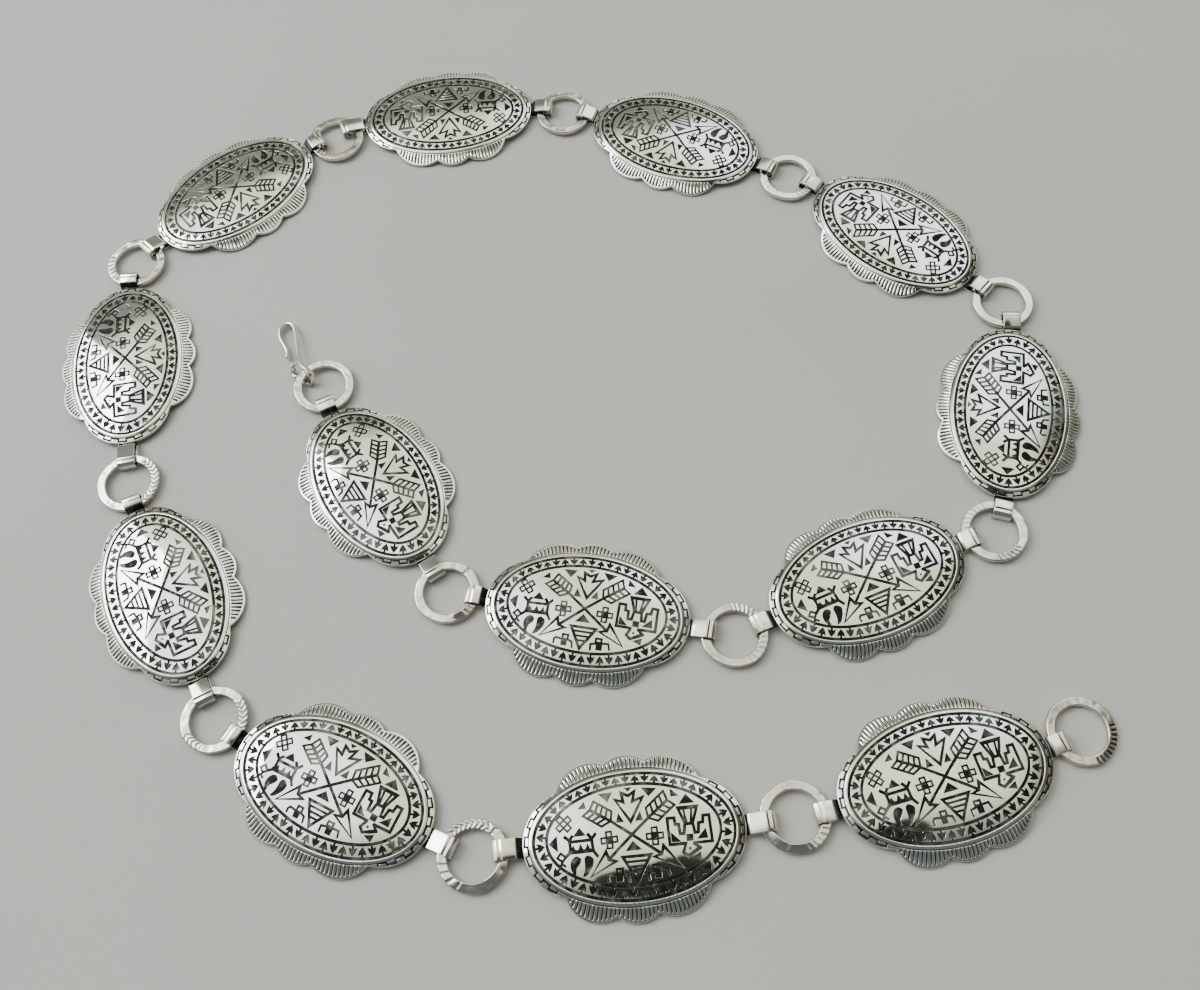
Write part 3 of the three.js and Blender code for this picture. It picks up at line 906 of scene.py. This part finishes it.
def notch_cuts(radius, angle, ring):
    """Punched notches across the band: how deep and how dark they are."""
    depth = np.zeros(radius.shape)
    ink = np.zeros(radius.shape)
    share = (radius - RING_INNER) / (RING_OUTER - RING_INNER)
    middle = (RING_INNER + RING_OUTER) / 2
    for low, high, name in ring["notched"]:
        style = NOTCH_STYLES[name]
        span = np.mod(angle - math.radians(low), 2 * math.pi)
        inside = span < math.radians(high - low)
        skew = np.abs(share - 0.5) * 2 if name == "chevron" else share
        phase = np.mod((span * middle - style["slant"] * skew) / style["pitch"], 1)
        cut = np.clip(1 - np.abs(phase - 0.5) / 0.27, 0, 1) ** 0.7
        across = smooth_step(share, style["from"], style["from"] + 0.15) if style["from"] else 1
        ends = np.clip(np.minimum(span, math.radians(high - low) - span) * middle / 0.8, 0, 1)
        found = np.where(inside, cut * across * ends, 0)
        depth = np.maximum(depth, found * style["sunk"])
        ink = np.maximum(ink, found * style["dark"])
    return depth, ink


def turn_from(angle, bearing):
    """The angle counted from a bearing in degrees, as half a turn either way."""
    return np.mod(angle - math.radians(bearing) + math.pi, 2 * math.pi) - math.pi


def band_twist(angle, share, ring, random):
    """The band is never quite flat: its upper face leans in and out along the way round."""
    lean = 0.05 * np.sin(2 * angle + random.uniform(0, 6))
    lean += 0.05 * np.sin(5 * angle + random.uniform(0, 6))
    for bearing, half_width, amount in ring["leaning"]:
        away = np.abs(turn_from(angle, bearing))
        lean = lean + amount * (1 - smooth_step(np.degrees(away), 0.5 * half_width, half_width))
    return lean * (share - 0.35)


def ring_section():
    """The band's cross section as radius and height, counterclockwise from the hole's upper edge."""
    half = RING_THICKNESS / 2
    edge = RING_EDGE
    section = [(radius, half) for radius in np.linspace(RING_INNER + edge, RING_OUTER - edge, 11)]
    corners = ((RING_OUTER - edge, half - edge, (22.5, 45, 67.5, 90)),
               (RING_OUTER - edge, edge - half, (90, 112.5, 135, 157.5, 180)),
               (RING_INNER + edge, edge - half, (180, 210, 240, 270)),
               (RING_INNER + edge, half - edge, (270, 300, 330)))
    for radius, height, steps in corners:
        for step in steps:
            angle = math.radians(step)
            section.append((radius + edge * math.sin(angle), height + edge * math.cos(angle)))
    return np.array(section)


def ring_piece(index, material):
    """A flat band with softened edges and a hammered, partly notched upper face."""
    ring = {**LEVEL_RING, **RINGS[index]}
    random = np.random.RandomState(RING_SEED + index)
    half = RING_THICKNESS / 2
    section = ring_section()
    radius = np.tile(section[:, 0], (RING_STATIONS, 1))
    height = np.tile(section[:, 1], (RING_STATIONS, 1))
    stations = np.arange(RING_STATIONS) * 2 * math.pi / RING_STATIONS
    angle = np.tile(stations[:, None], (1, len(section)))
    share = (radius - RING_INNER) / (RING_OUTER - RING_INNER)
    dents = hammer_marks(random)
    dent = np.zeros(radius.shape)
    for a, r, size, depth in zip(dents["angle"], dents["radius"], dents["size"], dents["depth"]):
        east = radius * np.cos(angle) - r * math.cos(a)
        north = radius * np.sin(angle) - r * math.sin(a)
        dent += depth * np.exp(-(east ** 2 + north ** 2) / size ** 2)
    notch, ink = notch_cuts(radius, angle, ring)
    upper = smooth_step(height, 0, half)
    height = height - (dent + notch + band_twist(angle, share, ring, random)) * upper
    swell = 0.06 * np.sin(3 * angle + random.uniform(0, 6))
    swell += 0.04 * np.sin(7 * angle + random.uniform(0, 6))
    if "seam" in ring:
        along = turn_from(angle, ring["seam"]) * RING_OUTER
        gap = np.exp(-((along - 1.1) / 0.35) ** 2)
        swell += 0.3 * np.exp(-(along / 0.5) ** 2) - 0.35 * gap
        height -= 0.2 * gap * upper
    radius = radius + swell * share
    points = np.stack([radius * np.cos(angle), radius * np.sin(angle), height], axis=2).reshape(-1, 3)
    faces = lattice_faces(RING_STATIONS, len(section), wraps=True)
    high = math.radians(ring["high"])
    tilt = Matrix.Rotation(math.radians(ring["tilt"]), 4, Vector((math.sin(high), -math.cos(high), 0)))
    place = Matrix.Translation((ring["x"] + LAYOUT_SHIFT[0], ring["y"] + LAYOUT_SHIFT[1],
                                RING_FLOOR + half + ring["rise"])) @ tilt
    piece = make_piece(f"ring_{index:02d}_hammered", points, faces, place, material)
    set_ink(piece, (ink * upper).reshape(-1))
    return piece


# Hook

def spline(rows, steps):
    """A smooth curve through rows of numbers, which keeps the first and last row."""
    rows = np.asarray(rows, float)
    padded = np.concatenate([2 * rows[:1] - rows[1:2], rows, 2 * rows[-1:] - rows[-2:-1]])
    curve = []
    for index in range(1, len(padded) - 2):
        before, here, after, second = padded[index - 1: index + 3]
        curve += [between(before, here, after, second, share) for share in np.arange(steps) / steps]
    curve.append(rows[-1])
    return np.array(curve)


def hook_piece(material):
    rows = spline(HOOK_PATH, CURVE_STEPS)
    middles = rows[:, :3]
    lean, bearing = (np.radians(rows[:, HOOK_COLUMNS.index(name)]) for name in ("lean", "bearing"))
    wide = np.stack([np.cos(lean) * np.cos(bearing), np.cos(lean) * np.sin(bearing), -np.sin(lean)],
                    axis=1)
    along = unit_rows(np.gradient(middles, axis=0))
    out = unit_rows(np.cross(along, wide))
    wide = unit_rows(np.cross(out, along))
    section = strip_section(HOOK_WIDTH, HOOK_THICKNESS, HOOK_EDGE)
    points, faces = sweep(middles, wide, out, section)
    return make_piece("hook_strip", points, faces, Matrix.Translation((*LAYOUT_SHIFT, 0)), material)


# Pieces in the scene

def make_piece(name, points, faces, place, material):
    """A smooth-shaded mesh object from points in millimetres, moved to their place on the belt."""
    turn = np.array(place.to_3x3())
    placed = np.asarray(points) @ turn.T + np.array(place.translation)
    mesh = bpy.data.meshes.new(name)
    mesh.from_pydata((placed * MM).tolist(), [], faces)
    mesh.shade_smooth()
    mesh.materials.append(material)
    piece = bpy.data.objects.new(name, mesh)
    bpy.context.scene.collection.objects.link(piece)
    return piece


def set_ink(piece, values):
    """How dark each point is: black oxide in the plates' sunk marks, darkened notches on the rings, and
    painted shade with some blackening on the straps by the rim.
    """
    attribute = piece.data.attributes.new("ink", "FLOAT", "POINT")
    attribute.data.foreach_set("value", np.asarray(values, np.float32))


def attach(piece, node):
    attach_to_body(piece, BODY)
    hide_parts(node)


def add_plates(silver, blackened):
    outline = plate_outline()
    face = stamped_face(outline)
    for index, plate in enumerate(PLATES):
        node = f"concho_{index + 1:02d}"
        shift = Matrix.Translation((plate["x"] + LAYOUT_SHIFT[0], plate["y"] + LAYOUT_SHIFT[1], 0))
        place = shift @ Matrix.Rotation(math.radians(plate["heading"]), 4, "Z")
        attach(plate_piece(index, face, outline, place, blackened), node)
        for side, end, ring in ((-1, "a", RINGS[index]), (1, "b", RINGS[index + 1])):
            strap = strap_piece(f"strap_{index + 1:02d}_{end}", plate, side, ring, place, silver)
            attach(strap, node)


def add_rings(silver):
    for index in range(len(RINGS)):
        attach(ring_piece(index, silver), f"ring_{index:02d}")


def add_hook(silver):
    attach(hook_piece(silver), "hook")


# Materials

# Ink at which the oxide, and on the straps the painted shade by the rim, covers the metal, its look, the
# hairlines' size and the floor's tones
FULL_INK = 0.35
OXIDE_AND_SHADE_COLOUR = (0.018, 0.017, 0.016)
OXIDE_AND_SHADE_ROUGHNESS = 0.55
SCRATCH_SCALE = (2600, 130, 400)
SCRATCH_DEPTH = 0.00002
FLOOR_COLOURS = ((0.47, 0.45, 0.42), (0.50, 0.48, 0.45))


def new_material(name):
    material = bpy.data.materials.new(name)
    material.use_nodes = True
    tree = material.node_tree
    tree.nodes.clear()
    output = tree.nodes.new("ShaderNodeOutputMaterial")
    shader = tree.nodes.new("ShaderNodeBsdfPrincipled")
    tree.links.new(shader.outputs["BSDF"], output.inputs["Surface"])
    return material, tree, shader


def noise(tree, where, scale, detail, rough=0.5):
    node = tree.nodes.new("ShaderNodeTexNoise")
    node.inputs["Scale"].default_value = scale
    node.inputs["Detail"].default_value = detail
    node.inputs["Roughness"].default_value = rough
    tree.links.new(where, node.inputs["Vector"])
    return node.outputs["Fac"]


def ramp(tree, value, low, high, start, end):
    """The value taken from low..high to start..end."""
    node = tree.nodes.new("ShaderNodeMapRange")
    node.inputs["From Min"].default_value = low
    node.inputs["From Max"].default_value = high
    node.inputs["To Min"].default_value = start
    node.inputs["To Max"].default_value = end
    tree.links.new(value, node.inputs["Value"])
    return node.outputs["Result"]


def product(tree, first, second):
    node = tree.nodes.new("ShaderNodeMath")
    node.operation = "MULTIPLY"
    tree.links.new(first, node.inputs[0])
    tree.links.new(second, node.inputs[1])
    return node.outputs["Value"]


def blend(tree, share, first, second):
    """Mix of two colours; each is a colour or another node's output."""
    node = tree.nodes.new("ShaderNodeMix")
    node.data_type = "RGBA"
    tree.links.new(share, node.inputs["Factor"])
    for name, value in (("A", first), ("B", second)):
        socket = [s for s in node.inputs if s.name == name and s.type == "RGBA"][0]
        if isinstance(value, tuple):
            socket.default_value = (*value, 1)
        else:
            tree.links.new(value, socket)
    return [s for s in node.outputs if s.type == "RGBA"][0]


def scratch_bump(tree, where, angle, strength):
    """Fine hairline scratches in one direction."""
    mapping = tree.nodes.new("ShaderNodeMapping")
    mapping.inputs["Rotation"].default_value = (0, 0, math.radians(angle))
    mapping.inputs["Scale"].default_value = SCRATCH_SCALE
    tree.links.new(where, mapping.inputs["Vector"])
    lines = noise(tree, mapping.outputs["Vector"], 1, 2)
    bump = tree.nodes.new("ShaderNodeBump")
    bump.inputs["Strength"].default_value = strength
    bump.inputs["Distance"].default_value = SCRATCH_DEPTH
    tree.links.new(lines, bump.inputs["Height"])
    return bump


def silver_material(name, clean, tarnished, roughness):
    """Worn nickel silver: patchy tarnish, hairlines, and black oxide where the metal is sunk; the same
    dark also paints shade on the straps by the plate's rim.
    """
    material, tree, shader = new_material(name)
    where = tree.nodes.new("ShaderNodeNewGeometry").outputs["Position"]
    patches = ramp(tree, noise(tree, where, 90, 4, 0.6), 0.38, 0.68, 0, 1)
    metal = blend(tree, patches, clean, tarnished)
    # The ink is oxide on the plates, darkened notches on the rings, and painted shade by the rim on the
    # straps
    ink = tree.nodes.new("ShaderNodeAttribute")
    ink.attribute_name = "ink"
    oxide = ramp(tree, ink.outputs["Fac"], 0.0, FULL_INK, 0, 1)
    flecks = ramp(tree, noise(tree, where, 420, 3, 0.6), 0.3, 0.5, 0.86, 1)
    rubbed = ramp(tree, noise(tree, where, 120, 2), 0.34, 0.46, 0.9, 1)
    dark = product(tree, product(tree, oxide, flecks), rubbed)
    colour = blend(tree, dark, metal, OXIDE_AND_SHADE_COLOUR)
    tree.links.new(colour, shader.inputs["Base Color"])
    mottle = noise(tree, where, 260, 5, 0.65)
    grain = ramp(tree, mottle, 0.3, 0.7, 0.75 * roughness, 1.25 * roughness)
    darker = tree.nodes.new("ShaderNodeMix")
    darker.data_type = "FLOAT"
    tree.links.new(dark, darker.inputs["Factor"])
    tree.links.new(grain, darker.inputs[2])
    darker.inputs[3].default_value = OXIDE_AND_SHADE_ROUGHNESS
    tree.links.new(darker.outputs[0], shader.inputs["Roughness"])
    shader.inputs["Metallic"].default_value = 1
    first = scratch_bump(tree, where, 20, 0.025)
    second = scratch_bump(tree, where, 110, 0.02)
    tree.links.new(first.outputs["Normal"], second.inputs["Normal"])
    tree.links.new(second.outputs["Normal"], shader.inputs["Normal"])
    return material


def floor_material():
    material, tree, shader = new_material("pale_floor")
    where = tree.nodes.new("ShaderNodeNewGeometry").outputs["Position"]
    cloud = ramp(tree, noise(tree, where, 6, 3), 0.3, 0.7, 0, 1)
    colour = blend(tree, cloud, *FLOOR_COLOURS)
    tree.links.new(colour, shader.inputs["Base Color"])
    shader.inputs["Roughness"].default_value = 0.75
    return material


# Floor, light and camera

FLOOR_GAP = 0.02 * MM
FLOOR_REACH = 3.0
WINDOW_PLACE = (-0.99, 0.47, 1.02)
WINDOW_SIZE = 0.8
WINDOW_POWER = 16
WINDOW_COLOUR = (0.93, 0.97, 1.0)


def add_floor():
    mesh = bpy.data.meshes.new("floor")
    corners = [(x * FLOOR_REACH, y * FLOOR_REACH, -FLOOR_GAP)
               for x, y in ((-1, -1), (1, -1), (1, 1), (-1, 1))]
    mesh.from_pydata(corners, [], [(0, 1, 2, 3)])
    mesh.materials.append(floor_material())
    floor = bpy.data.objects.new("floor", mesh)
    bpy.context.scene.collection.objects.link(floor)


def add_window():
    """A square area light that faces the belt's middle."""
    light = bpy.data.lights.new("window", "AREA")
    light.shape = "RECTANGLE"
    light.size = WINDOW_SIZE
    light.size_y = WINDOW_SIZE
    light.energy = WINDOW_POWER
    light.color = WINDOW_COLOUR
    lamp = bpy.data.objects.new("window", light)
    lamp.location = WINDOW_PLACE
    lamp.rotation_euler = (-Vector(WINDOW_PLACE)).to_track_quat("-Z", "Y").to_euler()
    bpy.context.scene.collection.objects.link(lamp)


CREAM = (0.99, 1.0, 0.82)
WARM = (1.0, 0.98, 0.88)
DIM = (1.0, 0.9, 0.85)

# What stands round the table, as patches of light painted one over the other: direction of the
# middle, angles at which the patch is full and has ended, colour and strength
ROOM = (
    {"toward": (-0.06, 0.22, 0.97), "full": 24, "ends": 42, "colour": CREAM, "strength": 1.6},
    {"toward": (0.05, -0.8, 0.6), "full": 38, "ends": 62, "colour": (0.84, 0.93, 1.0), "strength": 0.2},
    {"toward": (-0.16, 0.85, 0.5), "full": 13, "ends": 23, "colour": WARM, "strength": 0.3},
    {"toward": (-0.42, 0.78, 0.46), "full": 12, "ends": 19, "colour": WARM, "strength": 0.33},
    {"toward": (0.05, 0.97, 0.24), "full": 8, "ends": 15, "colour": WARM, "strength": 1.5},
    {"toward": (0.78, 0.1, 0.62), "full": 14, "ends": 26, "colour": (1.0, 0.9, 0.8), "strength": 0.12},
    {"toward": (-0.87, 0.3, 0.4), "full": 16, "ends": 28, "colour": (0.95, 0.98, 1.0), "strength": 2.4},
    {"toward": (-0.42, 0.25, 0.87), "full": 9, "ends": 23, "colour": (0.93, 0.99, 1.0), "strength": 2.9},
    {"toward": (0.32, 0.57, 0.75), "full": 8, "ends": 20, "colour": (0.84, 0.95, 1.0), "strength": 2.85},
    {"toward": (-0.05, -0.135, 0.99), "full": 4.6, "ends": 5.6, "colour": DIM, "strength": 0.04},
    {"toward": (0.03, -0.13, 0.99), "full": 5.4, "ends": 6.4, "colour": DIM, "strength": 0.04},
    {"toward": (0.115, -0.115, 0.987), "full": 5.4, "ends": 6.4, "colour": DIM, "strength": 0.04},
)
WALL_COLOUR = (0.62, 0.58, 0.50)


def add_world():
    """A soft room: cream overhead, two windows, brown walls, and dim patches far, right and near."""
    world = bpy.data.worlds.new("soft_room")
    world.use_nodes = True
    tree = world.node_tree
    tree.nodes.clear()
    output = tree.nodes.new("ShaderNodeOutputWorld")
    background = tree.nodes.new("ShaderNodeBackground")
    tree.links.new(background.outputs["Background"], output.inputs["Surface"])
    direction = tree.nodes.new("ShaderNodeTexCoord").outputs["Generated"]
    colour = WALL_COLOUR
    for patch in ROOM:
        closeness = tree.nodes.new("ShaderNodeVectorMath")
        closeness.operation = "DOT_PRODUCT"
        tree.links.new(direction, closeness.inputs[0])
        closeness.inputs[1].default_value = Vector(patch["toward"]).normalized()
        share = ramp(tree, closeness.outputs["Value"], math.cos(math.radians(patch["ends"])),
                     math.cos(math.radians(patch["full"])), 0, 1)
        share.node.interpolation_type = "SMOOTHSTEP"
        light = tuple(part * patch["strength"] for part in patch["colour"])
        colour = blend(tree, share, colour, light)
    tree.links.new(colour, background.inputs["Color"])
    bpy.context.scene.world = world


CAMERA_PLACE = (8.8, -155.5, 279.9)
CAMERA_RIGHT = (0.99557, -0.0850, -0.0402)
CAMERA_UP = (0.0940, 0.9000, 0.4257)
PHOTO_FOCAL_PIXELS = 1170.8
PHOTO_WIDTH_PIXELS = 1200
SENSOR_WIDTH = 36.0
CLIP_START = 0.01


def add_camera():
    data = bpy.data.cameras.new("camera")
    data.sensor_width = SENSOR_WIDTH
    data.sensor_fit = "HORIZONTAL"
    data.lens = SENSOR_WIDTH * PHOTO_FOCAL_PIXELS / PHOTO_WIDTH_PIXELS
    data.clip_start = CLIP_START
    camera = bpy.data.objects.new("camera", data)
    right = Vector(CAMERA_RIGHT).normalized()
    back = right.cross(Vector(CAMERA_UP)).normalized()
    up = back.cross(right)
    turn = Matrix((right, up, back)).transposed().to_4x4()
    camera.matrix_world = Matrix.Translation(Vector(CAMERA_PLACE) * MM) @ turn
    bpy.context.scene.collection.objects.link(camera)
    bpy.context.scene.camera = camera


add_camera()
plain_silver = silver_material("worn_silver", (0.80, 0.80, 0.73), (0.58, 0.57, 0.50), 0.1)
satin_silver = silver_material("satin_silver", (0.73, 0.72, 0.64), (0.52, 0.50, 0.42), 0.2)
stamped_silver = silver_material("blackened_silver", (0.79, 0.82, 0.73), (0.72, 0.74, 0.64), 0.05)
add_plates(plain_silver, stamped_silver)
add_rings(satin_silver)
add_hook(plain_silver)
add_floor()
add_world()
add_window()
